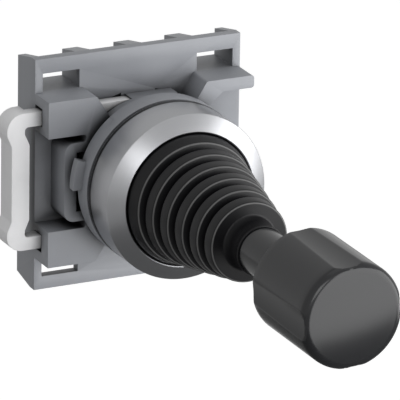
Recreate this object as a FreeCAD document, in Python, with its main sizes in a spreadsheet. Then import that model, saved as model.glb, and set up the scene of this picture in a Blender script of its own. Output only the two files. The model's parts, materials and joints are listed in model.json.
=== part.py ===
"""Panel-mounted industrial joystick: a sprung four-way lever with a rubber boot,
a metal bezel and a clip-on holder with a locking bail.

Frame: +Z up, front towards -Y, lever axis along Y, origin on that axis at the panel seat.
All sizes are millimetres. Every driving size is a named cell of the sheet "Sizes".
"""
import FreeCAD, Part
import Sketcher
import math
import os

from FreeCAD import Placement, Rotation, Vector

SPRING_SIDES = 12
BOOT_FOLDS = 5
FLUTES = 4

doc = FreeCAD.newDocument("Joystick")
sheet = doc.addObject("Spreadsheet::Sheet", "Sizes")

DRIVING_SIZES = {
    # holder plate
    "plate_width": 38.4,
    "plate_height": 41.4,
    "plate_wall": 1.8,
    "plate_front": 12.3,
    "post_depth": 7.2,
    "post_pitch": 9.6,
    "post_width": 2.8,
    "post_taper": 1.2,
    "post_shoulder": 1.7,
    "window_top": 18.1,
    "window_foot": 18.4,
    "shelf_top": 14.8,
    "shelf_wall": 1.4,
    "bore_radius": 13.2,
    "key_width": 6.4,
    # arms and guard on the front of the plate
    "arm_depth": 5.7,
    "block_low": 8.35,
    "block_right": 10.3,
    "block_slant": 3.0,
    "block_foot": 10.0,
    "slot_height": 1.3,
    "slot_end": 12.15,
    "guard_left": 16.2,
    "guard_corner": 1.8,
    "guard_window": 5.3,
    "guard_bar": 2.2,
    "arc_radius": 13.3,
    "bar_wall": 2.2,
    "bar_bend": 13.3,
    "bar_foot_right": 10.6,
    "bar_foot_left": 7.0,
    "bar_foot": 10.3,
    "bar_heel": 9.5,
    "bar_corner": 0.5,
    # locking bail
    "bail_front": 9.5,
    "bail_depth": 4.6,
    "bail_slope": 0.45,
    "slope_top": 7.4,
    "slope_foot": 8.8,
    "leg_depth": 2.6,
    "leg_low": 9.85,
    "leg_height": 2.45,
    "leg_end": 5.6,
    "bail_reach": 24.7,
    "bail_bar": 3.3,
    "bail_bulge": 0.8,
    "bail_bend": 3.1,
    "bail_inner_bend": 0.7,
    "bail_soft_bend": 0.8,
    "bulge_high": 8.6,
    "bulge_low": 6.7,
    "bail_play": 0.2,
    "channel_top": 12.9,
    # operator body
    "neck_radius": 11.0,
    "neck_bore": 8.8,
    "neck_back": 19.2,
    "neck_chamfer": 0.6,
    "groove_flat": 9.6,
    "flange_radius": 11.9,
    "flange_front": 3.6,
    "ring_radius": 14.75,
    "ring_depth": 4.4,
    "sleeve_radius": 12.9,
    "sleeve_back": 9.2,
    "lug_radius": 16.3,
    "lug_depth": 1.6,
    "wide_lug_from": 161.0,
    "wide_lug_span": 19.0,
    "narrow_lug_from": 127.5,
    "narrow_lug_span": 6.0,
    "gasket_wall": 0.6,
    "bezel_radius": 14.7,
    "bezel_edge": 7.15,
    "bezel_front": 8.75,
    "bezel_mouth": 11.65,
    "bezel_bore": 12.0,
    "small_gap": 0.05,
    # boot
    "boot_wall": 0.7,
    "boot_base": 11.4,
    "boot_skirt": 1.0,
    "boot_first_radius": 10.75,
    "boot_first_crest": 11.3,
    "boot_pitch": 4.05,
    "boot_taper": 0.78,
    "boot_land": 2.6,
    "boot_land_rise": 0.45,
    "boot_groove": 1.3,
    "boot_groove_place": 0.75,
    "boot_rim": 4.7,
    "boot_neck": 4.25,
    "boot_neck_start": 1.0,
    "boot_lip": 4.4,
    "boot_lip_place": 4.5,
    # lever
    "pivot": 1.0,
    "rod_radius": 2.5,
    "stud_radius": 2.0,
    "tail_radius": 1.4,
    "tail_end": 0.8,
    "shaft_radius": 4.1,
    "shaft_cover": 1.6,
    "knob_radius": 9.1,
    "knob_back": 50.9,
    "knob_length": 18.5,
    "knob_round": 1.2,
    "knob_dome": 0.4,
    "flute_radius": 14.5,
    "flute_depth": 0.6,
    "flute_depth_back": 0.33,
    "insert_radius": 4.0,
    "insert_length": 9.0,
    # gimbal
    "hub_radius": 4.2,
    "hub_length": 4.4,
    "gimbal_inner": 5.2,
    "gimbal_outer": 6.8,
    "gimbal_length": 4.0,
    "cradle_inner": 7.3,
    "cradle_length": 3.2,
    "pin_radius": 0.8,
    "gate_wall": 1.4,
    "gate_half": 4.5,
    # actuating parts
    "disc_radius": 6.2,
    "disc_wall": 1.2,
    "disc_place": 5.8,
    "plunger_circle": 5.0,
    "plunger_stem": 1.0,
    "plunger_head": 1.2,
    "plunger_tip": 0.36,
    "plunger_cap": 1.5,
    "plunger_cone": 0.6,
    "plunger_gap": 0.85,
    "plunger_back": 19.8,
    "guide_front": 14.0,
    "guide_wall": 1.6,
    "spring_radius": 2.65,
    "spring_wire": 0.48,
    "spring_seat_gap": 0.06,
    "spring_turns": 5.0,
    "washer_wall": 0.4,
    "clip_reach": 0.45,
}


class Size:
    """A number together with the sheet expression that gives it."""

    def __init__(self, text, value):
        self.text = text
        self.value = value

    def joined(self, sign, other, value):
        other_text = other.text if isinstance(other, Size) else repr(float(other))
        return Size(f"({self.text} {sign} {other_text})", value)

    def __add__(self, other):
        return self.joined("+", other, self.value + number(other))

    def __sub__(self, other):
        return self.joined("-", other, self.value - number(other))

    def __mul__(self, other):
        return self.joined("*", other, self.value * number(other))

    def __truediv__(self, other):
        return self.joined("/", other, self.value / number(other))

    def __neg__(self):
        return Size(f"(0 - {self.text})", -self.value)


def number(size):
    return size.value if isinstance(size, Size) else float(size)


def sizes():
    """Writes the driving sizes into the sheet and returns them by name."""
    found = {}
    for row, (name, value) in enumerate(DRIVING_SIZES.items(), start=1):
        sheet.set(f"A{row}", name)
        sheet.set(f"B{row}", str(value))
        sheet.setAlias(f"B{row}", name)
        found[name] = Size(f"Sizes.{name}", value)
    return type("Named", (), found)


d = sizes()
doc.recompute()
made = []
ZERO = Size("0", 0.0)
CENTRE = (ZERO, ZERO)
CLOSE = 1e-4


def bind(thing, attribute, size):
    """Gives an attribute its value and, for a Size, the expression behind it."""
    if isinstance(size, Size):
        thing.setExpression(attribute, size.text)


def new_body(label):
    body = doc.addObject("PartDesign::Body", label)
    body.Label = label
    made.append(body)
    return body


def attach(body, sketch, role, offset=0.0):
    plane = [f for f in body.Origin.OriginFeatures if f.Role == role][0]
    sketch.AttachmentSupport = (plane, [""])
    sketch.MapMode = "FlatFace"
    sketch.AttachmentOffset = Placement(Vector(0, 0, number(offset)), Rotation())
    bind(sketch, "AttachmentOffset.Base.z", offset)


def pin_point(sketch, geometry, end, across, along):
    """Holds one point at signed distances from the sketch's origin."""
    for kind, size in (("DistanceX", across), ("DistanceY", along)):
        held = Sketcher.Constraint(kind, -1, 1, geometry, end, number(size))
        index = sketch.addConstraint(held)
        bind(sketch, f"Constraints[{index}]", size)


def draw(body, name, role, outlines=(), circles=(), offset=0.0):
    """A sketch of closed outlines of straight edges and of circles, all held by sizes."""
    sketch = body.newObject("Sketcher::SketchObject", name)
    attach(body, sketch, role, offset)
    for points in outlines:
        corners = [Vector(number(a), number(b), 0) for a, b in points]
        first = sketch.GeometryCount
        for start, stop in zip(corners, corners[1:] + corners[:1]):
            sketch.addGeometry(Part.LineSegment(start, stop), False)
        for i, (across, along) in enumerate(points):
            before = first + (i - 1) % len(points)
            join = Sketcher.Constraint("Coincident", before, 2, first + i, 1)
            sketch.addConstraint(join)
            pin_point(sketch, first + i, 1, across, along)
    for across, along, radius in circles:
        centre = Vector(number(across), number(along), 0)
        ring = sketch.addGeometry(Part.Circle(centre, Vector(0, 0, 1), number(radius)), False)
        pin_point(sketch, ring, 3, across, along)
        index = sketch.addConstraint(Sketcher.Constraint("Radius", ring, number(radius)))
        bind(sketch, f"Constraints[{index}]", radius)
    return sketch


def turned(label, *outlines):
    """A body turned about the lever axis from outlines of (radius, y) points."""
    body = new_body(label)
    for i, points in enumerate(outlines):
        sketch = draw(body, f"{label}_profile{i}", "XY_Plane", [points])
        turn = body.newObject("PartDesign::Revolution", f"{label}_turn{i}")
        turn.Profile = sketch
        turn.ReferenceAxis = (sketch, ["V_Axis"])
        turn.Angle = 360.0
        body.Tip = turn
    return body


def tube(label, inner, outer, front, back):
    """A plain ring or tube between two places on the lever axis."""
    return turned(label, [(inner, front), (outer, front), (outer, back), (inner, back)])


def feature(body, kind, name, sketch, length, **settings):
    """A pad or pocket of a sketch."""
    made_feature = body.newObject(f"PartDesign::{kind}", name)
    made_feature.Profile = sketch
    made_feature.Length = number(length)
    bind(made_feature, "Length", length)
    for attribute, value in settings.items():
        setattr(made_feature, attribute, value)
    body.Tip = made_feature
    return made_feature


def pad_forward(body, name, outlines, back, length, circles=()):
    """Pads outlines of (x, z) points from the place back on the Y axis towards the front."""
    sketch = draw(body, f"{name}_sketch", "XZ_Plane", outlines, circles, offset=-back)
    return feature(body, "Pad", name, sketch, length)


def cut_backward(body, name, outlines, front, length, circles=()):
    """Cuts outlines of (x, z) points from the place front on the Y axis towards the back."""
    sketch = draw(body, f"{name}_sketch", "XZ_Plane", outlines, circles, offset=-front)
    return feature(body, "Pocket", name, sketch, length)


def pad_sideways(body, name, outlines, start, length):
    """Pads outlines of (y, z) points from the place start on the X axis towards +X."""
    sketch = draw(body, f"{name}_sketch", "YZ_Plane", outlines, offset=start)
    return feature(body, "Pad", name, sketch, length)


def cut_sideways(body, name, outlines, start, length):
    """Cuts outlines of (y, z) points from the place start on the X axis towards +X."""
    sketch = draw(body, f"{name}_sketch", "YZ_Plane", outlines, offset=start)
    return feature(body, "Pocket", name, sketch, length, Reversed=True)


def round_edges(body, name, spots, radius):
    """Rounds the straight edges that run along Y through the (x, z) spots."""
    doc.recompute()
    base = body.Tip
    found = []
    for index, edge in enumerate(base.Shape.Edges, start=1):
        start, stop = edge.Vertexes[0].Point, edge.Vertexes[-1].Point
        if edge.Curve.TypeId != "Part::GeomLine" or abs(start.y - stop.y) < CLOSE:
            continue
        for across, up in spots:
            spot = Vector(number(across), start.y, number(up))
            if start.distanceToPoint(spot) < CLOSE and abs(start.x - stop.x) < CLOSE:
                found.append(f"Edge{index}")
    dress(body, name, found, radius)


def round_rim(body, name, rim_radius, place, radius):
    """Rounds the circular edge of one radius at one place on the lever axis."""
    doc.recompute()
    found = []
    for index, edge in enumerate(body.Tip.Shape.Edges, start=1):
        curve = edge.Curve
        if curve.TypeId != "Part::GeomCircle" or abs(curve.Radius - number(rim_radius)) > CLOSE:
            continue
        if abs(curve.Center.y - number(place)) < CLOSE:
            found.append(f"Edge{index}")
    dress(body, name, found, radius)


def dress(body, name, edges, radius):
    base = body.Tip
    if not edges:
        raise RuntimeError(f"{name} found no edge")
    rounding = body.newObject("PartDesign::Fillet", name)
    rounding.Base = (base, edges)
    rounding.Radius = number(radius)
    bind(rounding, "Radius", radius)
    body.Tip = rounding


def both_halves(spots):
    """The spots and their mirror images below the lever axis."""
    return spots + [(across, -up) for across, up in spots]


def mirrored(body, name, features, role):
    plane = [f for f in body.Origin.OriginFeatures if f.Role == role][0]
    twin = body.newObject("PartDesign::Mirrored", name)
    twin.Originals = features
    twin.MirrorPlane = (plane, [""])
    body.Tip = twin
    return twin


def box(left, right, low, high):
    return [(left, low), (right, low), (right, high), (left, high)]


def holder_plate():
    """Square plate with posts, windows, shelf, leg blocks, guard and bars."""
    body = new_body("holder_plate")
    half_width = d.plate_width / 2
    half_height = d.plate_height / 2
    post_half = d.post_width / 2
    plate_back = d.plate_front + d.plate_wall
    window_far = half_width - post_half
    window_near = d.post_pitch + post_half
    windows = []
    for left, right in ((-window_far, -window_near), (window_near, window_far)):
        windows.append(box(left, right, d.shelf_top, d.window_top))
        windows.append(box(left, right, -d.window_foot, -d.shelf_top))
    outline = box(-half_width, half_width, -half_height, half_height)
    pad_forward(body, "plate", [outline] + windows, plate_back, d.plate_wall, [(*CENTRE, d.bore_radius)])
    key_half = d.key_width / 2
    key = box(-key_half, key_half, d.neck_radius + d.bail_play, d.bore_radius + d.bail_play)
    pad_forward(body, "key", [key], plate_back, d.plate_wall)
    holder_back(body, half_width, half_height, post_half)
    holder_arms(body, half_width)
    holder_guard(body)
    cut_backward(body, "arc", [], d.plate_front - d.arm_depth, d.arm_depth, [(*CENTRE, d.arc_radius)])
    holder_channels(body, half_width)
    holder_roundings(body, half_width)


def holder_back(body, half_width, half_height, post_half):
    """Side walls, posts and shelf behind the plate, between which the contact blocks stand."""
    post_back = d.plate_front + d.post_depth
    post_end = half_height - d.post_taper
    shoulder = d.plate_front + d.post_shoulder
    shelf_low = d.shelf_top - d.shelf_wall
    tapered = [(post_back, post_end), (shoulder, half_height)]
    post = [(shoulder, shelf_low), (post_back, shelf_low)] + tapered
    wall = [(shoulder, -half_height), (post_back, -post_end)] + tapered
    pad_sideways(body, "post_middle", [post], -post_half, d.post_width)
    second = pad_sideways(body, "post_second", [post], -d.post_pitch - post_half, d.post_width)
    side = pad_sideways(body, "side_wall", [wall], -half_width, post_half)
    mirrored(body, "posts_right", [second, side], "YZ_Plane")
    shelf = box(shoulder, post_back, shelf_low, d.shelf_top)
    pad_sideways(body, "shelf", [shelf], -half_width, d.plate_width)


def holder_arms(body, half_width):
    """Blocks that guide the bail's legs on the left, and bent bars on the right."""
    slot_low = d.block_low - d.slot_height
    block = [
        (-half_width, d.block_low),
        (-d.slot_end, d.block_low),
        (-d.slot_end, slot_low),
        (ZERO, d.guard_window),
        (-d.block_right + d.block_slant, d.block_foot),
        (-d.block_right, d.shelf_top),
        (-half_width, d.shelf_top),
    ]
    upper = pad_forward(body, "leg_block", [block], d.plate_front, d.arm_depth)
    mirrored(body, "leg_block_low", [upper], "XY_Plane")
    bar = [
        (d.block_right, d.shelf_top),
        (d.bar_foot_left, d.bar_heel),
        (d.bar_foot_right, d.bar_foot),
        (d.bar_bend, d.shelf_top - d.bar_wall),
        (half_width, d.shelf_top - d.bar_wall),
        (half_width, d.shelf_top),
    ]
    bar_high = pad_forward(body, "bar", [bar], d.plate_front, d.arm_depth)
    mirrored(body, "bar_low", [bar_high], "XY_Plane")


def holder_guard(body):
    """U-shaped guard between the blocks, open towards the collar."""
    guard_high = d.block_low - d.slot_height
    guard_right = -d.block_right
    guard_inner = -d.guard_left + d.guard_bar
    guard = [
        (-d.guard_left, -guard_high),
        (guard_right, -guard_high),
        (guard_right, -d.guard_window),
        (guard_inner, -d.guard_window),
        (guard_inner, d.guard_window),
        (guard_right, d.guard_window),
        (guard_right, guard_high),
        (-d.guard_left, guard_high),
    ]
    pad_forward(body, "guard", [guard], d.plate_front, d.arm_depth)


def holder_channels(body, half_width):
    """Slots through the blocks and bars in which the bail's legs slide."""
    channel_front = d.bail_front - d.bail_play
    channel_back = d.bail_front + d.leg_depth + d.bail_play / 2
    channel = box(channel_front, channel_back, d.leg_low - d.bail_play, d.channel_top)
    run = cut_sideways(body, "leg_channel", [channel], -half_width, half_width)
    mirrored(body, "leg_channel_low", [run], "XY_Plane")


def holder_roundings(body, half_width):
    """Moulded radii: slot ends, guard corners, bar ends and bends."""
    slot_low = d.block_low - d.slot_height
    slot_ends = [(-d.slot_end, d.block_low), (-d.slot_end, slot_low)]
    round_edges(body, "slot_ends", both_halves(slot_ends), d.slot_height / 2 - d.small_gap)
    round_edges(body, "guard_corners", both_halves([(-d.guard_left, slot_low)]), d.guard_corner)
    bar_low = d.shelf_top - d.bar_wall
    corners = [(half_width, d.shelf_top), (half_width, bar_low), (d.bar_bend, bar_low)]
    corners += [(d.block_right, d.shelf_top), (-d.block_right, d.shelf_top)]
    round_edges(body, "bar_corners", both_halves(corners), d.bar_corner)


def locking_bail():
    """U-shaped slide: a deep thumb bar with bulged bends, and legs that grip the neck's flats."""
    body = new_body("locking_bail")
    leg_high = d.leg_low + d.leg_height
    bar_inner = d.bail_reach - d.bail_bar
    bulge = d.bail_reach + d.bail_bulge
    bulge_inner = bar_inner + d.bail_bulge
    soft = [
        (-d.bail_reach, d.bulge_low),
        (-bulge, d.bulge_high),
        (-bulge_inner, d.bulge_high),
        (-bar_inner, d.bulge_low),
    ]
    end = [(-bulge, leg_high), (-bar_inner, leg_high), (-bar_inner, d.leg_low), (-bulge_inner, d.leg_low)]
    upper = soft[:2] + end + soft[2:]
    lower = [(across, -up) for across, up in reversed(upper)]
    bail_back = d.bail_front + d.bail_depth
    pad_forward(body, "thumb_bar", [upper + lower], bail_back, d.bail_depth)
    round_edges(body, "outer_bends", both_halves([(-bulge, leg_high)]), d.bail_bend)
    round_edges(body, "inner_bends", both_halves([(-bulge_inner, d.leg_low)]), d.bail_inner_bend)
    round_edges(body, "soft_bends", both_halves(soft), d.bail_soft_bend)
    leg_back = d.bail_front + d.leg_depth
    leg = box(-bar_inner, d.leg_end, d.leg_low, leg_high)
    upper_leg = pad_forward(body, "leg", [leg], leg_back, d.leg_depth)
    mirrored(body, "leg_low", [upper_leg], "XY_Plane")
    sloped = d.bail_front + d.bail_slope
    slopes = []
    for crease, end in ((d.slope_top, leg_high), (-d.slope_foot, -leg_high)):
        slopes.append([(d.bail_front, crease), (sloped, end), (d.bail_front, end)])
    cut_sideways(body, "front_slopes", slopes, -bulge, bulge + d.leg_end)


def clamp_ring():
    """Collar behind the panel with a rear sleeve and two coding lugs."""
    bore = d.neck_radius + d.small_gap
    body = turned(
        "clamp_ring",
        [
            (bore, ZERO),
            (d.ring_radius, ZERO),
            (d.ring_radius, d.ring_depth),
            (d.sleeve_radius, d.ring_depth),
            (d.sleeve_radius, d.sleeve_back),
            (bore, d.sleeve_back),
        ],
    )
    lug = box(d.sleeve_radius, d.lug_radius, d.ring_depth - d.lug_depth, d.ring_depth)
    lugs = (("wide", d.wide_lug_from, d.wide_lug_span), ("narrow", d.narrow_lug_from, d.narrow_lug_span))
    for name, start, span in lugs:
        sketch = draw(body, f"{name}_lug_profile", "XY_Plane", [lug])
        sketch.AttachmentOffset = Placement(Vector(), Rotation(Vector(0, 1, 0), -number(start)))
        bind(sketch, "AttachmentOffset.Rotation.Angle", -start)
        turn = body.newObject("PartDesign::Revolution", f"{name}_lug")
        turn.Profile = sketch
        turn.ReferenceAxis = (sketch, ["V_Axis"])
        turn.Angle = number(span)
        bind(turn, "Angle", span)
        turn.Reversed = True
        body.Tip = turn


def operator_neck():
    """Round neck that passes through the panel, with a front flange and two flats."""
    body = turned(
        "operator_neck",
        [
            (d.neck_bore, -d.flange_front),
            (d.flange_radius, -d.flange_front),
            (d.flange_radius, -d.gasket_wall),
            (d.neck_radius, -d.gasket_wall),
            (d.neck_radius, d.neck_back - d.neck_chamfer),
            (d.neck_radius - d.neck_chamfer, d.neck_back),
            (d.neck_bore, d.neck_back),
        ],
    )
    flat = box(-d.neck_radius, d.neck_radius, d.groove_flat, d.neck_radius + d.bail_play)
    front = d.bail_front - d.bail_play
    upper = cut_backward(body, "leg_flat", [flat], front, d.leg_depth + d.bail_play * 2)
    mirrored(body, "leg_flat_low", [upper], "XY_Plane")


def bezel():
    """Chromed ring with a conical front face."""
    return turned(
        "bezel",
        [
            (d.bezel_bore, -d.gasket_wall),
            (d.bezel_radius, -d.gasket_wall),
            (d.bezel_radius, -d.bezel_edge),
            (d.bezel_mouth, -d.bezel_front),
            (d.bezel_mouth, -d.bezel_edge),
            (d.bezel_bore, -d.bezel_edge),
        ],
    )


def boot_profile():
    """Outer profile of the boot: skirt, tapering lands with grooves between, end face, neck and lip."""
    outer = [(d.boot_base, -d.flange_front - d.gate_wall), (d.boot_base, -d.bezel_front)]
    for fold in range(BOOT_FOLDS):
        radius = d.boot_first_radius - d.boot_taper * fold
        place = -d.boot_first_crest - d.boot_pitch * fold
        if fold:
            outer.append((radius + d.boot_land_rise, place + d.boot_land))
        outer.append((radius, place))
        outer.append((radius - d.boot_groove, place - d.boot_groove_place))
    rim = d.boot_first_radius - d.boot_taper * BOOT_FOLDS
    end = -d.boot_first_crest - d.boot_pitch * BOOT_FOLDS
    outer.append((rim + d.boot_land_rise, end + d.boot_land))
    outer.append((rim, end))
    outer.append((d.boot_rim, end))
    outer.append((d.boot_neck, end - d.boot_neck_start))
    outer.append((d.boot_lip, end - d.boot_lip_place))
    return outer


def boot():
    """Rubber bellows between the bezel and the lever, hollow down to the neck."""
    outer = boot_profile()
    shaft = d.shaft_radius + d.small_gap
    end = -d.boot_first_crest - d.boot_pitch * BOOT_FOLDS
    groove_wall = d.boot_groove + d.boot_wall
    last = d.boot_first_radius - d.boot_taper * (BOOT_FOLDS - 1) - groove_wall
    inner = [
        (shaft, end - d.boot_lip_place),
        (shaft, end + d.boot_wall),
        (last, end + d.boot_wall),
        (d.boot_first_radius - groove_wall, -d.boot_first_crest - d.boot_groove_place),
        (d.boot_base - d.boot_skirt, -d.bezel_front),
        (d.boot_base - d.boot_skirt, -d.flange_front - d.gate_wall),
    ]
    return turned("boot", outer + inner)


def lever():
    """Rod, hub, sleeve, knob and what holds them together."""
    disc_front = d.pivot + d.disc_place - d.disc_wall
    disc_back = d.pivot + d.disc_place
    rod_front = -d.knob_back - d.insert_length
    turned(
        "lever_rod",
        [
            (ZERO, rod_front),
            (d.stud_radius, rod_front),
            (d.stud_radius, -d.knob_back),
            (d.rod_radius, -d.knob_back),
            (d.rod_radius, disc_front),
            (d.tail_radius, disc_front),
            (d.tail_radius, disc_back + d.tail_end),
            (ZERO, disc_back + d.tail_end),
        ],
    )
    sleeve_back = -d.boot_first_crest - d.boot_pitch * BOOT_FOLDS + d.shaft_cover
    tube("lever_sleeve", d.rod_radius, d.shaft_radius, -d.knob_back, sleeve_back)
    knob(rod_front)
    tube("knob_insert", d.stud_radius, d.insert_radius, rod_front, -d.knob_back)
    half_hub = d.hub_length / 2
    hub = tube("pivot_hub", d.rod_radius, d.hub_radius, d.pivot - half_hub, d.pivot + half_hub)
    cross_bores(hub, "Z", "hub_seats", d.pin_radius)
    tube("rocker_disc", d.tail_radius, d.disc_radius, disc_front, disc_back)
    clip_radius = d.tail_radius + d.clip_reach
    tube("disc_clip", d.tail_radius, clip_radius, disc_back, disc_back + d.washer_wall)


def knob(rod_front):
    """Grip with a rounded front rim and four finger flutes that deepen towards the front."""
    front = -d.knob_back - d.knob_length
    body = turned(
        "knob",
        [
            (d.insert_radius, -d.knob_back),
            (d.knob_radius, -d.knob_back),
            (d.knob_radius, front),
            (ZERO, front - d.knob_dome),
            (ZERO, rod_front),
            (d.insert_radius, rod_front),
        ],
    )
    round_rim(body, "front_rim", d.knob_radius, front, d.knob_round)
    deepening = (d.flute_depth - d.flute_depth_back) / d.knob_length
    lean = Size(f"atan({deepening.text})", math.degrees(math.atan(number(deepening))))
    start = front - d.knob_round
    circle = (ZERO, d.knob_radius - d.flute_depth + d.flute_radius, d.flute_radius)
    sketch = draw(body, "flute_sketch", "XZ_Plane", circles=[circle], offset=-start)
    place = sketch.AttachmentOffset.Base
    sketch.AttachmentOffset = Placement(place, Rotation(Vector(1, 0, 0), number(lean)))
    bind(sketch, "AttachmentOffset.Rotation.Angle", lean)
    flute = feature(body, "Pocket", "flute", sketch, d.knob_length + d.knob_round * 2)
    turn = body.newObject("PartDesign::PolarPattern", "flutes")
    turn.Originals = [flute]
    axis = [f for f in body.Origin.OriginFeatures if f.Role == "Y_Axis"][0]
    turn.Axis = (axis, [""])
    turn.Angle = 360.0
    turn.Occurrences = FLUTES
    body.Tip = turn


def cross_pins(label, role, inner, outer):
    """Two short pins on one cross axis through the pivot, as separate solids."""
    pieces = []
    for side in (1, -1):
        pin = doc.addObject("Part::Cylinder", f"{label}_{'a' if side > 0 else 'b'}")
        for attribute, size in (("Radius", d.pin_radius), ("Height", outer - inner)):
            setattr(pin, attribute, number(size))
            bind(pin, attribute, size)
        across = Vector(side, 0, 0) if role == "X" else Vector(0, 0, side)
        pin.Placement = Placement(Vector(0, number(d.pivot), 0), Rotation(Vector(0, 0, 1), across))
        coordinate = "x" if role == "X" else "z"
        bind(pin, "Placement.Base.y", d.pivot)
        bind(pin, f"Placement.Base.{coordinate}", inner * side)
        pieces.append(pin)
    both = doc.addObject("Part::Compound", label)
    both.Links = pieces
    both.Label = label
    made.append(both)


def cross_bores(body, role, name, radius):
    """Bores through a ring, on one cross axis through the pivot."""
    plane = "YZ_Plane" if role == "X" else "XY_Plane"
    place = (d.pivot, ZERO) if role == "X" else (ZERO, d.pivot)
    sketch = draw(body, f"{name}_sketch", plane, circles=[(*place, radius)])
    feature(body, "Pocket", name, sketch, d.neck_radius * 2, Midplane=True)


def gimbal():
    """Cradle ring fixed in the neck, gimbal ring inside it, and both pairs of pins."""
    half = d.cradle_length / 2
    cradle = tube("pivot_cradle", d.cradle_inner, d.neck_bore, d.pivot - half, d.pivot + half)
    running = d.pin_radius + d.small_gap
    cross_bores(cradle, "X", "cradle_bores", running)
    half = d.gimbal_length / 2
    ring = tube("gimbal_ring", d.gimbal_inner, d.gimbal_outer, d.pivot - half, d.pivot + half)
    cross_bores(ring, "Z", "ring_bores", running)
    cross_bores(ring, "X", "ring_seats", d.pin_radius)
    cross_pins("gimbal_pins", "X", d.gimbal_inner + d.small_gap * 2, d.neck_bore - d.small_gap * 2)
    cross_pins("hub_pins", "Z", d.rod_radius + d.small_gap, d.gimbal_outer - d.small_gap * 2)


def gate():
    """Square gate that limits the tilt, and the ring that holds the boot's base."""
    body = new_body("gate_plate")
    opening = box(-d.gate_half, d.gate_half, -d.gate_half, d.gate_half)
    rim = d.boot_base - d.boot_skirt - d.small_gap
    pad_forward(body, "gate", [opening], -d.flange_front, d.gate_wall, [(*CENTRE, rim)])
    back = -d.flange_front - d.gate_wall
    tube("boot_ring", d.neck_bore, rim, back - d.gate_wall, back)


def plungers():
    """Four rods that pass the lever's tilt to the contact blocks."""
    front = d.pivot + d.disc_place + d.plunger_gap
    points = [
        (ZERO, front),
        (d.plunger_tip, front),
        (d.plunger_head, front + d.plunger_cone),
        (d.plunger_head, front + d.plunger_cap),
        (d.plunger_stem, front + d.plunger_cap),
        (d.plunger_stem, d.plunger_back),
        (ZERO, d.plunger_back),
    ]
    for name, across, up in (("up", 0, 1), ("down", 0, -1), ("left", -1, 0), ("right", 1, 0)):
        body = turned(f"plunger_{name}", points)
        for coordinate, step in (("x", across), ("z", up)):
            if step:
                bind(body, f"Placement.Base.{coordinate}", d.plunger_circle * step)


def guide():
    """Rear guide plate for the plungers, and the centring spring between the disc and its seat."""
    guide_back = d.guide_front + d.guide_wall
    body = tube("guide_plate", d.stud_radius, d.neck_bore, d.guide_front, guide_back)
    fit = d.plunger_stem + d.small_gap
    reach = d.plunger_circle
    spots = [(ZERO, reach), (ZERO, -reach), (reach, ZERO), (-reach, ZERO)]
    bores = [(across, up, fit) for across, up in spots]
    cut_backward(body, "plunger_bores", [], d.guide_front, d.guide_wall, bores)
    half_wire = d.spring_wire / 2
    washer_front = d.guide_front - d.washer_wall
    tube("spring_seat", d.spring_radius - half_wire, d.spring_radius + half_wire, washer_front, d.guide_front)
    centring_spring(d.pivot + d.disc_place, washer_front, half_wire)


def centring_spring(front, back, half_wire):
    """Square-wire coil between two places on the lever axis."""
    start = number(front + half_wire + d.spring_seat_gap)
    length = number(back - half_wire - d.spring_seat_gap) - start
    reach = number(d.spring_radius)
    steps = int(number(d.spring_turns) * SPRING_SIDES)
    path = []
    for step in range(steps + 1):
        angle = 2 * math.pi * step / SPRING_SIDES
        path.append(Vector(reach * math.cos(angle), reach * math.sin(angle), length * step / steps))
    half = number(half_wire)
    corners = [(-half, -half), (half, -half), (half, half), (-half, half), (-half, -half)]
    section = [path[0] + Vector(across, 0, along) for across, along in corners]
    solid = Part.makePolygon(path).makePipeShell([Part.makePolygon(section)], True, False, 1)
    spring = doc.addObject("Part::Feature", "centring_spring")
    spring.Shape = solid
    spring.Label = "centring_spring"
    spring.Placement = Placement(Vector(0, start, 0), Rotation(Vector(0, 0, 1), Vector(0, 1, 0)))
    made.append(spring)


holder_plate()
locking_bail()
clamp_ring()
tube("panel_gasket", d.neck_radius + d.small_gap, d.ring_radius, -d.gasket_wall, ZERO)
operator_neck()
bezel()
boot()
gate()
gimbal()
lever()
plungers()
guide()
doc.recompute()

for thing in doc.Objects:
    if "Invalid" in thing.State or "Error" in thing.State:
        raise RuntimeError(f"{thing.Label} did not build: {thing.State}")
os.makedirs("parts", exist_ok=True)
for thing in made:
    shape = thing.Shape
    if shape.isNull() or not shape.isValid():
        raise RuntimeError(f"{thing.Label} has no valid shape")
    print(thing.Label, len(shape.Solids), "solid(s), volume", round(shape.Volume, 2))
    shape.exportStep(f"parts/{thing.Label}.step")
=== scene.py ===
"""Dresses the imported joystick: softened mouldings, turned metal, a moulded rubber boot,
procedural materials, soft studio light and the photograph's camera.

Metres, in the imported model's own frame: +Z up, front towards -Y, origin at the panel seat.
The lever axis is the Y axis, and a radius is measured from it.
"""

import json
import math

import bmesh
import bpy
from mathutils import Matrix, Vector


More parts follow.
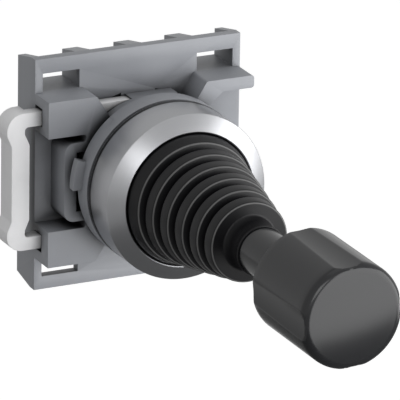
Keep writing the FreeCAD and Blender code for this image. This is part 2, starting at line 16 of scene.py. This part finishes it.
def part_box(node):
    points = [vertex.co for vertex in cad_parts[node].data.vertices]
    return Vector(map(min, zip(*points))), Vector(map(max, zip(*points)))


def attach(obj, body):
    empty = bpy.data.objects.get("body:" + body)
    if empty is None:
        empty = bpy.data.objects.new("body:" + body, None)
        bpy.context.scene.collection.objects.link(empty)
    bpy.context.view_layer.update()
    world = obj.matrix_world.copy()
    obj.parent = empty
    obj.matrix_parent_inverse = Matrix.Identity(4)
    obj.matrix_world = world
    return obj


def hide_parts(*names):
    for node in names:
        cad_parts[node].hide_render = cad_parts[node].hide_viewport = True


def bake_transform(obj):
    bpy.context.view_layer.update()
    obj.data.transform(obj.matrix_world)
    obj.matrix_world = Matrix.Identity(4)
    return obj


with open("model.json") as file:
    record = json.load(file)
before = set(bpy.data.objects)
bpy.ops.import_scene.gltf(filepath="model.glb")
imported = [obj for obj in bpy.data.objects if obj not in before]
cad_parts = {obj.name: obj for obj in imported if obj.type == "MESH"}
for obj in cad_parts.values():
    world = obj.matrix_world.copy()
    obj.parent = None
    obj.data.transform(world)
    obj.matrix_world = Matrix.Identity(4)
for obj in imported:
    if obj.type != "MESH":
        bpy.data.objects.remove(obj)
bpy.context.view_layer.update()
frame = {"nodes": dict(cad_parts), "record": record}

MM = 0.001
QUARTER = math.pi / 2

# Facets around a turned piece
AROUND = 192
KNOB_AROUND = 384

# The photograph's camera
CAMERA_PLACE = Vector((-414.15, -866.45, 341.78)) * MM
CAMERA_AIM = Vector((8.81, 5.61, -6.06)) * MM
CAMERA_ROLL = math.radians(0.946)
CAMERA_LENS = 541.9
CAMERA_SENSOR = 36.0

# Radii of the moulded edges
HOLDER_EDGE = 0.22 * MM
BAIL_EDGE = 0.35 * MM
RING_EDGE = 0.18 * MM

# Clamp ring: its narrow lug lies between two angles from +X towards +Z, in degrees
NARROW_LUG_START = 125
NARROW_LUG_END = 136
NARROW_LUG_FOOT = 14.8 * MM
RING_RADIUS = 14.7 * MM
RING_FRONT = 0.75 * MM
FACE_SLACK = 0.01 * MM

# Lip of the holder over the bail's upper leg
LIP_LEFT = -2.5 * MM
LIP_RIGHT = 6.0 * MM
LIP_FRONT = 9.24 * MM
LIP_BACK = 12.2 * MM
LIP_FOOT = 9.7 * MM
LIP_TOP = 12.58 * MM
LIP_WALL = 0.2 * MM

# Black rims on the neck: outer radius, front and back of each
RIM_BORE = 11.05 * MM
RIM_EDGE = 0.1 * MM
JOINT_RIM = (13.9 * MM, 0.2 * MM, 0.8 * MM)
REAR_RIM = (13.05 * MM, 12.6 * MM, 14.0 * MM)

# Bezel: its mouth is an arc that starts at the cone's slope and turns in steps, in degrees
BEZEL_BACK_REACH = 0.85 * MM
BEZEL_CONE = 1.6 * MM
BEZEL_BORE = 12.0 * MM
BEZEL_MOUTH = 11.65 * MM
BEZEL_BACK_EDGE = 0.15 * MM
BEZEL_FRONT_EDGE = 0.12 * MM
MOUTH_ROUNDING = 0.4 * MM
MOUTH_START = 10
MOUTH_STEP = 10

# Knob and its finger flutes
KNOB_RADIUS = 9.1 * MM
KNOB_BORE = 4.0 * MM
KNOB_BACK_EDGE = 0.35 * MM
KNOB_RIM = 1.45 * MM
KNOB_DOME = 0.4 * MM
KNOB_ARC_STEPS = 8
KNOB_STRETCH = 1.2 * MM
FLUTE_TURN = math.radians(4)
FLUTE_RADIUS = 14.5 * MM
FLUTE_DEPTH_BACK = 0.33 * MM
FLUTE_DEPTH_FRONT = 0.6 * MM

# Boot: lands with narrow grooves between them, numbered from the base
BOOT_WALL = 0.45 * MM
BOOT_BACK = -5.2 * MM
BOOT_BASE_FRONT = -8.9 * MM
BOOT_BASE_RADIUS = 11.5 * MM
BOOT_FOLDS = 5
BOOT_PITCH = 4.05 * MM
BOOT_TAPER = 0.78 * MM
BOOT_FIRST_RADIUS = 10.8 * MM
BOOT_FIRST_CREST = -11.3 * MM
BOOT_FIRST_LAND = 2.0 * MM
BOOT_FIRST_RISE = 0.6 * MM
BOOT_LAND = 2.35 * MM
BOOT_LAND_RISE = 0.35 * MM
BOOT_CREST_RISE = 0.1 * MM
BOOT_GROOVE = 2.0 * MM
BOOT_GROOVE_SLOPE = 0.1 * MM
BOOT_GROOVE_FRONT = 0.95 * MM
BOOT_GROOVE_BACK = 0.25 * MM
BOOT_GROOVE_EDGE = 0.25 * MM
BOOT_FRONT_EDGE = 0.4 * MM
BOOT_BACK_EDGE = 0.35 * MM
BOOT_FIRST_BACK_EDGE = 0.15 * MM
BOOT_BASE_EDGE = 0.1 * MM
BOOT_END = BOOT_FIRST_CREST - BOOT_PITCH * BOOT_FOLDS

# Neck of the boot in front of its end face
NECK_ROOT_RADIUS = 4.7 * MM
NECK_RADIUS = 4.22 * MM
NECK_START = 1.1 * MM
WAIST_RADIUS = 4.2 * MM
WAIST_PLACE = 3.4 * MM
NECK_LIP_RADIUS = 4.42 * MM
NECK_LIP = 0.15 * MM
NECK_BORE = 4.12 * MM

# The boot's two halves meet in the groove in front of this land
SEAM_FOLD = 2
SEAM_DEPTH = 0.6 * MM

# Painted highlight on the front edges of the lands: a lighter grey stands for the light they catch
HIGHLIGHT_MARK = "edge"
EDGE_HALF_WIDTH = 0.16 * MM
EDGE_DEPTH = 0.25 * MM

# Levels of the surroundings
WORLD_LIGHT = 0.42
GLOSSY_WORLD = 0.66
FLOOR_GLOW = 0.8
FLOOR_GLOSSY = 0.22

# Places and sizes in the studio
LAMP_DISTANCE = 0.9
LAMP_AIM = Vector((0, -20 * MM, 0))
FLOOR_SIZE = (6.0, 6.0)
FLOOR_DROP = 0.55
CARD_SIZE = (0.5, 0.575)
CARD_PLACE = (0.08, -0.0875)
CARD_DROP = 0.14


def y_range(node):
    """Front and back of a CAD node along the lever axis."""
    low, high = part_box(node)
    return low.y, high.y


def radius_of(node):
    """Outer radius of a turned CAD node."""
    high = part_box(node)[1]
    return max(high.x, high.z)


def add_to_scene(name, data):
    """A new object at the origin, linked to the scene."""
    piece = bpy.data.objects.new(name, data)
    bpy.context.scene.collection.objects.link(piece)
    return piece


def new_piece(name, mesh, body, slot, nodes=()):
    """Adds a piece in its slot's finish, riding on a body, in place of the CAD nodes given."""
    mesh.materials.clear()
    mesh.materials.append(FINISH[slot])
    piece = add_to_scene(name, mesh)
    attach(piece, body)
    if nodes:
        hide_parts(*nodes)


def mesh_from(builder, name):
    """Makes a mesh of what the builder holds, and frees the builder."""
    mesh = bpy.data.meshes.new(name)
    builder.to_mesh(mesh)
    builder.free()
    return mesh


def shade_smooth(mesh, sharp_above=40.0):
    """Smooth shading with the edges above an angle, in degrees, kept sharp."""
    for face in mesh.polygons:
        face.use_smooth = True
    mesh.set_sharp_from_angle(angle=math.radians(sharp_above))


def rounded(points, sizes, steps=5):
    """An outline with its corners replaced by curves: sizes gives each corner's setback.

    A setback stops short of the middle of a side, so that two of them never meet.
    """
    side_share = 0.49
    result = []
    count = len(points)
    for i, (point, size) in enumerate(zip(points, sizes)):
        here = Vector(point)
        if not size:
            result.append(tuple(here))
            continue
        before = Vector(points[(i - 1) % count]) - here
        after = Vector(points[(i + 1) % count]) - here
        reach = min(size, before.length * side_share, after.length * side_share)
        start = here + before.normalized() * reach
        stop = here + after.normalized() * reach
        for step in range(steps + 1):
            share = step / steps
            first = start.lerp(here, share)
            second = here.lerp(stop, share)
            result.append(tuple(first.lerp(second, share)))
    return result


def divided(outline, longest):
    """The outline with extra points on its long straight stretches."""
    result = []
    for first, second in zip(outline, outline[1:]):
        start, stop = Vector(first), Vector(second)
        parts = max(1, math.ceil((stop - start).length / longest))
        for step in range(parts):
            result.append(tuple(start.lerp(stop, step / parts)))
    result.append(outline[-1])
    return result


def lathe(name, outline, closed=True, shape=None, around=AROUND):
    """A mesh turned about the lever axis from (radius, y) points; shape may change a radius by angle."""
    grid = []
    builder = bmesh.new()
    for i in range(around):
        angle = 2 * math.pi * i / around
        column = []
        for radius, y in outline:
            reach = shape(radius, y, angle) if shape else radius
            column.append(builder.verts.new((reach * math.sin(angle), y, reach * math.cos(angle))))
        grid.append(column)
    count = len(outline)
    last = count if closed else count - 1
    for i in range(around):
        here, there = grid[i], grid[(i + 1) % around]
        for k in range(last):
            after = (k + 1) % count
            builder.faces.new((here[k], here[after], there[after], there[k]))
    bmesh.ops.remove_doubles(builder, verts=builder.verts, dist=1e-7)
    bmesh.ops.recalc_face_normals(builder, faces=builder.faces)
    mesh = mesh_from(builder, name)
    shade_smooth(mesh)
    return mesh


def softened(node, edge_radius, change=None):
    """A copy of a CAD node's mesh with its flat faces joined and its edges rounded."""
    builder = bmesh.new()
    builder.from_mesh(frame["nodes"][node].data)
    bmesh.ops.remove_doubles(builder, verts=builder.verts, dist=1e-6)
    if change:
        change(builder)
    flat_below = math.radians(2)
    bmesh.ops.dissolve_limit(builder, angle_limit=flat_below, verts=builder.verts, edges=builder.edges)
    sharp_above = math.radians(30)
    sharp = [e for e in builder.edges if e.is_manifold and e.calc_face_angle() > sharp_above]
    bmesh.ops.bevel(
        builder, geom=sharp, offset=edge_radius, segments=3, profile=0.5,
        affect="EDGES", clamp_overlap=True, miter_outer="ARC",
    )
    mesh = mesh_from(builder, f"soft_{node}")
    shade_smooth(mesh, 35.0)
    return mesh


class Nodes:
    """A material and a short way to add and link its nodes."""

    def __init__(self, name):
        self.material = bpy.data.materials.new(name)
        self.material.use_nodes = True
        self.tree = self.material.node_tree
        self.shader = self.tree.nodes["Principled BSDF"]

    def add(self, kind, **values):
        """A new node, with values set on its inputs or else on its properties."""
        node = self.tree.nodes.new(f"ShaderNode{kind}")
        for key, value in values.items():
            if key in node.inputs:
                node.inputs[key].default_value = value
            else:
                setattr(node, key, value)
        return node

    def link(self, start, start_name, end, end_name):
        self.tree.links.new(start.outputs[start_name], end.inputs[end_name])

    def set(self, **values):
        """Values set on the shader's own inputs, with _ for a space in their names."""
        for key, value in values.items():
            self.shader.inputs[key.replace("_", " ")].default_value = value

    def ramp(self, source, output, low, high):
        """A colour ramp between two colours, driven by a node's output."""
        ramp = self.add("ValToRGB")
        ramp.color_ramp.elements[0].color = (*low, 1)
        ramp.color_ramp.elements[1].color = (*high, 1)
        self.link(source, output, ramp, "Fac")
        return ramp

    def spread(self, source, output, low, high, start=0.0, end=1.0):
        """A value mapped from start..end onto low..high."""
        spread = self.add("MapRange")
        spread.inputs["From Min"].default_value = start
        spread.inputs["From Max"].default_value = end
        spread.inputs["To Min"].default_value = low
        spread.inputs["To Max"].default_value = high
        self.link(source, output, spread, "Value")
        return spread


def paint_edge_highlight(m, tint, grey):
    """Painted highlight: mixes in a lighter grey where the mesh's edges are marked."""
    mark = m.add("Attribute", attribute_name=HIGHLIGHT_MARK)
    line = m.spread(mark, "Fac", 0.0, 1.0, 0.45, 0.95)
    highlighted = m.add("MixRGB", Color2=(grey, grey, grey, 1))
    m.link(line, "Result", highlighted, "Fac")
    m.link(tint, "Color", highlighted, "Color1")
    return highlighted


def paint_corner_shade(m, tint, reach):
    """Painted shade: dims a colour in corners and openings, where other surfaces lie within reach."""
    opening = m.add("AmbientOcclusion", samples=12, Distance=reach)
    dim = m.spread(opening, "AO", 0.0, 1.0, 0.2, 0.78)
    scaled = m.add("VectorMath", operation="SCALE")
    m.link(tint, "Color", scaled, "Vector")
    m.link(dim, "Result", scaled, "Scale")
    return scaled


def moulded(name, colour, roughness, grain=9000.0, bump=0.02, specular=0.5, painted_shade_reach=0.0, highlight_grey=0.0):
    """Moulded plastic or rubber: spark texture, flow mottling, painted recess shade and edge highlight.
    """
    mottle = 0.05
    m = Nodes(name)
    place = m.add("TexCoord")
    fine = m.add("TexNoise", Scale=grain, Detail=3.0)
    m.link(place, "Object", fine, "Vector")
    broad = m.add("TexNoise", Scale=260.0, Detail=2.0)
    m.link(place, "Object", broad, "Vector")
    low = [c * (1 - mottle) for c in colour]
    high = [c * (1 + mottle) for c in colour]
    tint = m.ramp(broad, "Fac", low, high)
    # painted highlight: a lighter grey on the marked front edges
    if highlight_grey:
        tint = paint_edge_highlight(m, tint, highlight_grey)
    # painted shade: the base colour darkens where ambient occlusion finds nearby surfaces
    if painted_shade_reach:
        tint = paint_corner_shade(m, tint, painted_shade_reach)
    m.tree.links.new(tint.outputs[0], m.shader.inputs["Base Color"])
    gloss = m.spread(broad, "Fac", roughness * 0.92, roughness * 1.08)
    m.link(gloss, "Result", m.shader, "Roughness")
    relief = m.add("Bump", Strength=bump, Distance=0.00002)
    m.link(fine, "Fac", relief, "Height")
    m.link(relief, "Normal", m.shader, "Normal")
    m.set(Specular_IOR_Level=specular)
    return m.material


def turned_metal(name, colour, roughness, anisotropy=0.5):
    """Metal with the fine rings that a lathe or a brush leaves about the lever axis."""
    m = Nodes(name)
    place = m.add("TexCoord")
    split = m.add("SeparateXYZ")
    m.link(place, "Object", split, "Vector")
    across = m.add("CombineXYZ")
    m.link(split, "X", across, "X")
    m.link(split, "Z", across, "Y")
    radius = m.add("VectorMath", operation="LENGTH")
    m.link(across, "Vector", radius, "Vector")
    along = m.add("CombineXYZ")
    m.link(radius, "Value", along, "X")
    m.link(split, "Y", along, "Y")
    rings = m.add("TexNoise", Scale=9000.0, Detail=2.0)
    m.link(along, "Vector", rings, "Vector")
    tint = m.ramp(rings, "Fac", [c * 0.94 for c in colour], colour)
    m.link(tint, "Color", m.shader, "Base Color")
    gloss = m.spread(rings, "Fac", roughness * 0.85, roughness * 1.15)
    m.link(gloss, "Result", m.shader, "Roughness")
    relief = m.add("Bump", Strength=0.03, Distance=0.00001)
    m.link(rings, "Fac", relief, "Height")
    m.link(relief, "Normal", m.shader, "Normal")
    m.set(Metallic=1.0, Anisotropic=anisotropy)
    return m.material


FINISH = {
    # grey and pale plastic carry painted shade in their corners and recesses
    "grey_plastic": moulded("grey_plastic", (0.285, 0.295, 0.318), 0.4, painted_shade_reach=7 * MM),
    "pale_plastic": moulded("pale_plastic", (0.87, 0.87, 0.88), 0.42, painted_shade_reach=4 * MM),
    "black_plastic": moulded("black_plastic", (0.006, 0.006, 0.007), 0.5, specular=0.2),
    "dark_plastic": moulded(
        "dark_plastic", (0.014, 0.0145, 0.016), 0.17, grain=7000.0, bump=0.01, specular=0.45
    ),
    # black rubber carries a painted highlight on the marked edges of the boot's lands
    "black_rubber": moulded(
        "black_rubber", (0.006, 0.006, 0.007), 0.36, grain=5000.0, bump=0.04, specular=0.26, highlight_grey=0.12
    ),
    "satin_chrome": turned_metal("satin_chrome", (0.435, 0.44, 0.455), 0.3, anisotropy=0.0),
    "steel": turned_metal("steel", (0.52, 0.53, 0.55), 0.3),
    "brass": turned_metal("brass", (0.72, 0.53, 0.24), 0.28),
}


def finish_nodes():
    """Gives every CAD node the finish of its own slot."""
    slots = {s["node"]: s["material_slot"] for s in frame["record"]["subparts"]}
    for name, node in frame["nodes"].items():
        node.data.materials.clear()
        node.data.materials.append(FINISH[slots[name]])
        shade_smooth(node.data, 30.0)


def settle_ring(builder):
    """Sets the clamp ring's front back to the joint and brings its narrow lug down to its edge."""
    for vert in builder.verts:
        reach = math.hypot(vert.co.x, vert.co.z)
        angle = math.degrees(math.atan2(vert.co.z, vert.co.x))
        if NARROW_LUG_START < angle < NARROW_LUG_END and reach > NARROW_LUG_FOOT:
            vert.co.x *= RING_RADIUS / reach
            vert.co.z *= RING_RADIUS / reach
        if vert.co.y < FACE_SLACK:
            vert.co.y = RING_FRONT


def mouldings():
    """Holder, bail and clamp ring with the small radii that moulded edges have."""
    for node, body, slot, edge_radius, change in (
        ("holder_plate", "operator", "grey_plastic", HOLDER_EDGE, None),
        ("locking_bail", "bail", "pale_plastic", BAIL_EDGE, None),
        ("clamp_ring", "operator", "grey_plastic", RING_EDGE, settle_ring),
    ):
        mesh = softened(node, edge_radius, change)
        new_piece(f"{node}_moulding", mesh, body, slot, [node])


def channel_lip():
    """Angled lip of the holder that covers the tip of the bail's upper leg."""
    outline = (
        (LIP_FRONT, LIP_FOOT), (LIP_FRONT, LIP_TOP), (LIP_BACK, LIP_TOP), (LIP_BACK, LIP_TOP - LIP_WALL),
        (LIP_FRONT + LIP_WALL, LIP_TOP - LIP_WALL), (LIP_FRONT + LIP_WALL, LIP_FOOT),
    )
    builder = bmesh.new()
    near, far = [[builder.verts.new((x, y, z)) for y, z in outline] for x in (LIP_LEFT, LIP_RIGHT)]
    builder.faces.new(near)
    builder.faces.new(far[::-1])
    for i in range(len(outline)):
        after = (i + 1) % len(outline)
        builder.faces.new((near[i], far[i], far[after], near[after]))
    bmesh.ops.recalc_face_normals(builder, faces=builder.faces)
    new_piece("channel_lip", mesh_from(builder, "channel_lip"), "operator", "grey_plastic")


def neck_rims():
    """Black rims on the neck: one in the joint behind the bezel, one that closes the holder's bore."""
    for name, (outer, near, far) in (("neck_joint_rim", JOINT_RIM), ("neck_rear_rim", REAR_RIM)):
        points = [(RIM_BORE, near), (outer, near), (outer, far), (RIM_BORE, far)]
        mesh = lathe(name, rounded(points, [RIM_EDGE] * len(points)))
        new_piece(name, mesh, "operator", "black_plastic")


def bezel():
    """Chromed ring: cylindrical side, crisp edge, wide conical front, mouth rounded inwards."""
    front, back = y_range("bezel")
    back += BEZEL_BACK_REACH
    outer = radius_of("bezel")
    edge = front + BEZEL_CONE
    mouth = []
    for tilt in range(MOUTH_START, 90 + MOUTH_STEP, MOUTH_STEP):
        turn = math.radians(tilt)
        rise = MOUTH_ROUNDING * (math.cos(math.radians(MOUTH_START)) - math.cos(turn))
        mouth.append((BEZEL_MOUTH + MOUTH_ROUNDING * (1 - math.sin(turn)), front + rise))
    points = [(BEZEL_BORE, back), (outer, back), (outer, edge)] + mouth
    points += [(BEZEL_MOUTH, edge), (BEZEL_BORE, edge)]
    sizes = [0, BEZEL_BACK_EDGE, BEZEL_FRONT_EDGE] + [0] * (len(mouth) + 2)
    mesh = lathe("bezel_turning", rounded(points, sizes))
    shade_smooth(mesh, 20.0)
    new_piece("bezel_turning", mesh, "operator", "satin_chrome", ["bezel"])


def knob_outline(front, back):
    """Back edge, side, rounded rim and domed face, as (radius, y) points."""
    corners = [(KNOB_BORE, back), (KNOB_RADIUS, back), (KNOB_RADIUS, front)]
    outline = rounded(corners, [0, KNOB_BACK_EDGE, 0])[:-1]
    face = KNOB_RADIUS - KNOB_RIM
    shoulder = front + KNOB_DOME + KNOB_RIM
    for step in range(KNOB_ARC_STEPS + 1):
        turn = QUARTER * step / KNOB_ARC_STEPS
        outline.append((face + KNOB_RIM * math.cos(turn), shoulder - KNOB_RIM * math.sin(turn)))
    for step in range(1, KNOB_ARC_STEPS + 1):
        share = 1 - step / KNOB_ARC_STEPS
        outline.append((face * share, front + KNOB_DOME * share ** 2))
    return divided(outline, KNOB_STRETCH)


def knob():
    """Grip with four finger flutes that deepen forward and run out through the rounded rim."""
    front, back = y_range("knob")

    def fluted(reach, y, angle):
        """The radius where a flute, an arc hollowed into the side, cuts below the outline."""
        along = min(1.0, max(0.0, (back - y) / (back - front)))
        depth = FLUTE_DEPTH_BACK + (FLUTE_DEPTH_FRONT - FLUTE_DEPTH_BACK) * along
        centre = KNOB_RADIUS - depth + FLUTE_RADIUS
        turn = (angle + FLUTE_TURN + QUARTER / 2) % QUARTER - QUARTER / 2
        inside = FLUTE_RADIUS ** 2 - (centre * math.sin(turn)) ** 2
        if inside <= 0:
            return reach
        return min(reach, centre * math.cos(turn) - math.sqrt(inside))

    mesh = lathe("knob_grip", knob_outline(front, back), closed=False, shape=fluted, around=KNOB_AROUND)
    new_piece("knob_grip", mesh, "lever", "dark_plastic", ["knob"])


def land(fold):
    """Radius and place of a land's front edge."""
    return BOOT_FIRST_RADIUS - BOOT_TAPER * fold, BOOT_FIRST_CREST - BOOT_PITCH * fold


def boot_outline():
    """Outer profile from the base to the lip: lands with narrow grooves, end face, waisted neck.

    Each corner is a radius, a place along the axis and the setback of its rounding.
    """
    tip = y_range("boot")[0]
    corners = [(BOOT_BASE_RADIUS, BOOT_BACK, 0), (BOOT_BASE_RADIUS, BOOT_BASE_FRONT, BOOT_BASE_EDGE)]
    for fold in range(BOOT_FOLDS + 1):
        radius, place = land(fold)
        if fold:
            corners.append((radius + BOOT_LAND_RISE, place + BOOT_LAND, BOOT_BACK_EDGE))
        else:
            corners.append((radius + BOOT_FIRST_RISE, place + BOOT_FIRST_LAND, BOOT_FIRST_BACK_EDGE))
        corners.append((radius + BOOT_CREST_RISE, place, BOOT_FRONT_EDGE))
        if fold < BOOT_FOLDS:
            floor = radius - BOOT_GROOVE
            corners.append((floor, place - BOOT_GROOVE_BACK, BOOT_GROOVE_EDGE))
            corners.append((floor - BOOT_GROOVE_SLOPE, place - BOOT_GROOVE_FRONT, BOOT_GROOVE_EDGE))
    corners += [
        (NECK_ROOT_RADIUS, BOOT_END, 0.3 * MM),
        (NECK_RADIUS, BOOT_END - NECK_START, 0.6 * MM),
        (WAIST_RADIUS, BOOT_END - WAIST_PLACE, 0.8 * MM),
        (NECK_LIP_RADIUS, tip + NECK_LIP, 0.12 * MM),
        (NECK_BORE, tip, 0),
    ]
    return rounded([corner[:2] for corner in corners], [corner[2] for corner in corners], 4)


def mark_highlight_edges(mesh):
    """Marks the front edge of each land, where a painted highlight stands for the light it catches."""
    mark = mesh.attributes.new(HIGHLIGHT_MARK, "FLOAT", "POINT")
    for vert in mesh.vertices:
        reach = math.hypot(vert.co.x, vert.co.z)
        for fold in range(BOOT_FOLDS + 1):
            radius, place = land(fold)
            if abs(vert.co.y - place) < EDGE_HALF_WIDTH and reach > radius - EDGE_DEPTH:
                mark.data[vert.index].value = 1.0


def boot():
    """Rubber bellows in two halves that meet in a groove."""
    outline = boot_outline()
    seam = land(SEAM_FOLD)[1] - SEAM_DEPTH
    split = next(i for i, (_, y) in enumerate(outline) if y < seam)
    before, after = Vector(outline[split - 1]), Vector(outline[split])
    share = (before.y - seam) / (before.y - after.y)
    joint = tuple(before.lerp(after, share))
    for name, points, bodies, start, end, nodes in (
        ("boot_base", outline[:split] + [joint], ("operator", "gimbal"), BOOT_BASE_FRONT, seam, ["boot"]),
        ("boot_top", [joint] + outline[split:], ("gimbal", "lever"), seam, BOOT_END, []),
    ):
        mesh = lathe(name, points, closed=False)
        mark_highlight_edges(mesh)
        mesh.materials.append(FINISH["black_rubber"])
        piece = add_to_scene(name, mesh)
        shell = piece.modifiers.new("wall", "SOLIDIFY")
        shell.thickness = BOOT_WALL
        shell.offset = -1.0
        if nodes:
            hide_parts(*nodes)
        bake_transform(piece)


def camera():
    """The photograph's camera: a long lens, up and to the left of the lever."""
    data = bpy.data.cameras.new("camera")
    data.lens = CAMERA_LENS
    data.sensor_width = CAMERA_SENSOR
    data.sensor_fit = "HORIZONTAL"
    data.clip_start = 0.1
    data.clip_end = 10.0
    piece = add_to_scene("camera", data)
    look = (CAMERA_AIM - CAMERA_PLACE).to_track_quat("-Z", "Y").to_matrix().to_4x4()
    piece.matrix_world = Matrix.Translation(CAMERA_PLACE) @ look @ Matrix.Rotation(CAMERA_ROLL, 4, "Z")
    bpy.context.scene.camera = piece


def soft_box(name, turn, rise, size, radiance):
    """A soft box that looks at the object; turn counts from the front towards +X, in degrees."""
    data = bpy.data.lights.new(name, "AREA")
    data.shape = "RECTANGLE"
    data.size, data.size_y = size
    data.energy = radiance * math.pi * size[0] * size[1]
    piece = add_to_scene(name, data)
    around, up = math.radians(turn), math.radians(rise)
    away = Vector((math.sin(around) * math.cos(up), -math.cos(around) * math.cos(up), math.sin(up)))
    look = (-away).to_track_quat("-Z", "Y").to_matrix().to_4x4()
    piece.matrix_world = Matrix.Translation(LAMP_AIM + away * LAMP_DISTANCE) @ look
    piece.visible_camera = False


def seen_rays(tree, camera_level, glossy_level, other_level):
    """A level for rays from the camera or through glass, one for reflections and one for other rays."""
    path = tree.nodes.new("ShaderNodeLightPath")
    direct = tree.nodes.new("ShaderNodeMath")
    direct.operation = "MAXIMUM"
    tree.links.new(path.outputs["Is Camera Ray"], direct.inputs[0])
    tree.links.new(path.outputs["Is Transmission Ray"], direct.inputs[1])
    glossy = tree.nodes.new("ShaderNodeMix")
    glossy.inputs["A"].default_value = other_level
    glossy.inputs["B"].default_value = glossy_level
    tree.links.new(path.outputs["Is Glossy Ray"], glossy.inputs["Factor"])
    seen = tree.nodes.new("ShaderNodeMix")
    seen.inputs["B"].default_value = camera_level
    tree.links.new(direct.outputs[0], seen.inputs["Factor"])
    tree.links.new(glossy.outputs["Result"], seen.inputs["A"])
    return seen.outputs["Result"]


def matt(name, grey):
    """A matt grey material, as nodes."""
    m = Nodes(name)
    m.set(Base_Color=(grey, grey, grey, 1), Roughness=1.0)
    return m


def plane(name, size, place, material):
    """A flat rectangle of the studio, apart from the object."""
    builder = bmesh.new()
    bmesh.ops.create_grid(builder, x_segments=1, y_segments=1, size=1.0)
    mesh = mesh_from(builder, name)
    mesh.materials.append(material)
    piece = add_to_scene(name, mesh)
    piece.scale = (size[0] / 2, size[1] / 2, 1)
    piece.location = place
    return piece


def surroundings():
    """White to the camera, and dimmer in reflections and as light."""
    world = bpy.data.worlds.new("studio")
    bpy.context.scene.world = world
    world.use_nodes = True
    ground = world.node_tree.nodes["Background"]
    ground.inputs["Color"].default_value = (1, 1, 1, 1)
    level = seen_rays(world.node_tree, 1.0, GLOSSY_WORLD, WORLD_LIGHT)
    world.node_tree.links.new(level, ground.inputs["Strength"])


def floor_and_card():
    """A pale floor, and above it a dark card that shows only in reflections and grades the metal."""
    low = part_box("holder_plate")[0].z
    floor = matt("floor", 0.45)
    floor.set(Specular_IOR_Level=0.0, Emission_Color=(1, 1, 1, 1))
    glow = seen_rays(floor.tree, FLOOR_GLOW, FLOOR_GLOSSY, 0.0)
    floor.tree.links.new(glow, floor.shader.inputs["Emission Strength"])
    plane("floor", FLOOR_SIZE, (0, 0, low - FLOOR_DROP), floor.material)

    card = plane("dark_card", CARD_SIZE, (*CARD_PLACE, low - CARD_DROP), matt("dark_card", 0.2).material)
    card.visible_camera = False
    card.visible_shadow = False
    card.visible_diffuse = False


finish_nodes()
mouldings()
channel_lip()
neck_rims()
bezel()
knob()
boot()
surroundings()
soft_box("key", turn=45, rise=-2, size=(1.4, 1.0), radiance=2.9)
soft_box("front", turn=-17, rise=16, size=(0.36, 0.36), radiance=2.6)
soft_box("top", turn=20, rise=78, size=(0.7, 0.7), radiance=0.3)
floor_and_card()
camera()
bpy.context.scene.view_settings.view_transform = "Standard"
